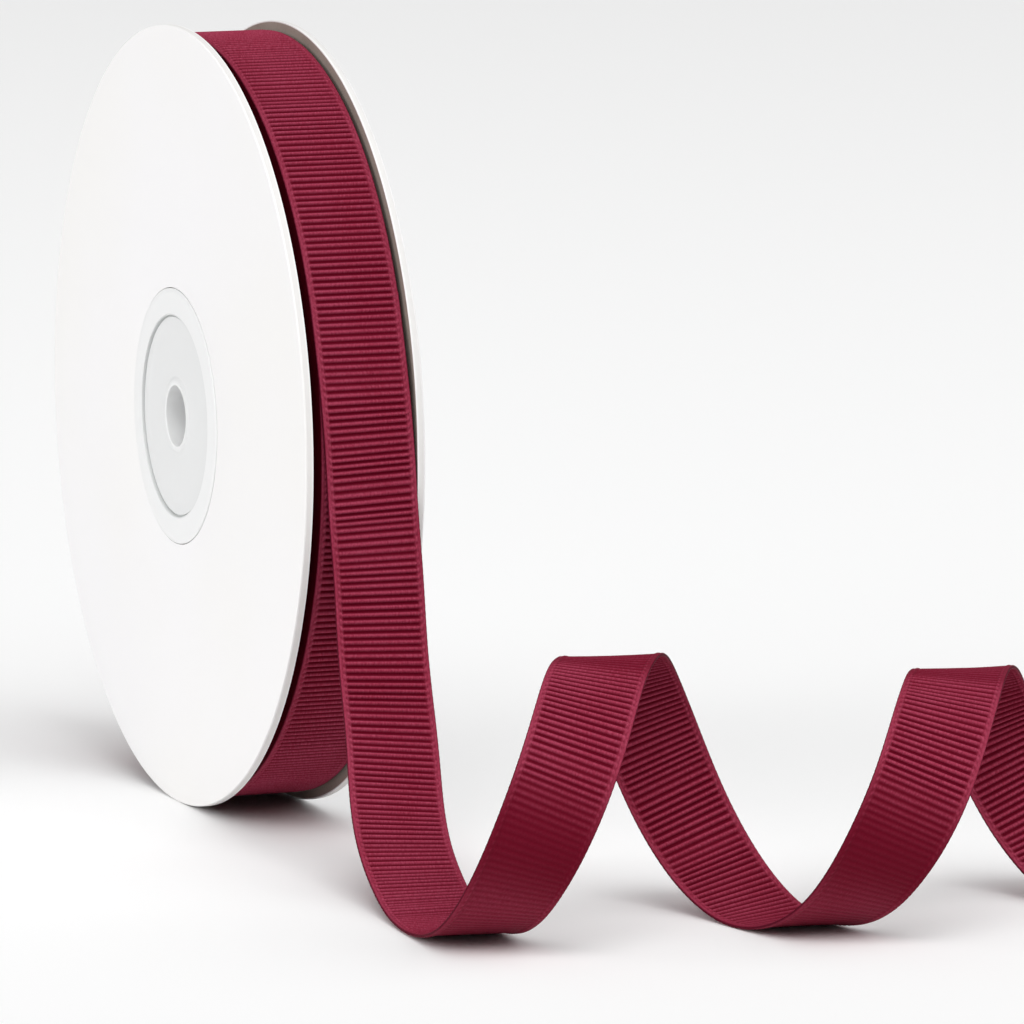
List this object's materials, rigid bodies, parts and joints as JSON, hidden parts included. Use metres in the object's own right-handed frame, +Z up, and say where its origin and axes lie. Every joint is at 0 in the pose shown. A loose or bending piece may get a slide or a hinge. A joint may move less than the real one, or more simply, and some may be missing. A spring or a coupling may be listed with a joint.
{
  "type": "ribbon spool",
  "caption": "Flanged card-and-plastic spool wound with 16 mm grosgrain ribbon, its loose end drawn off at the front into curls on the table.",
  "frame": {"origin": "on the table, under the middle of the spool", "axes": "+Y is the spool's axis, from the near flange to the far flange; +X is the front, where the ribbon comes off; +Z is up"},
  "size_m": [0.2398, 0.1287, 0.1359],
  "materials": {
    "greyboard": "matte",
    "white_facing": "matte",
    "hub_plastic": "satin",
    "tape": "satin",
    "ribbon": "ribbed"
  },
  "bodies": {
    "loose_end": {"ribbon_tail": "ribbon"},
    "spool": {"near_board": "greyboard", "near_facing": "white_facing", "far_board": "greyboard", "far_facing": "white_facing", "near_hub_half": "hub_plastic", "far_hub_half": "hub_plastic", "core_tape": "tape", "ribbon_pack": "ribbon"}
  },
  "joints": [
    {"name": "spool_spin", "type": "hinge", "parent": "loose_end", "child": "spool", "pos_m": [0, 0, 0.06796], "axis": [0, 1, 0], "continuous": true}
  ]
}
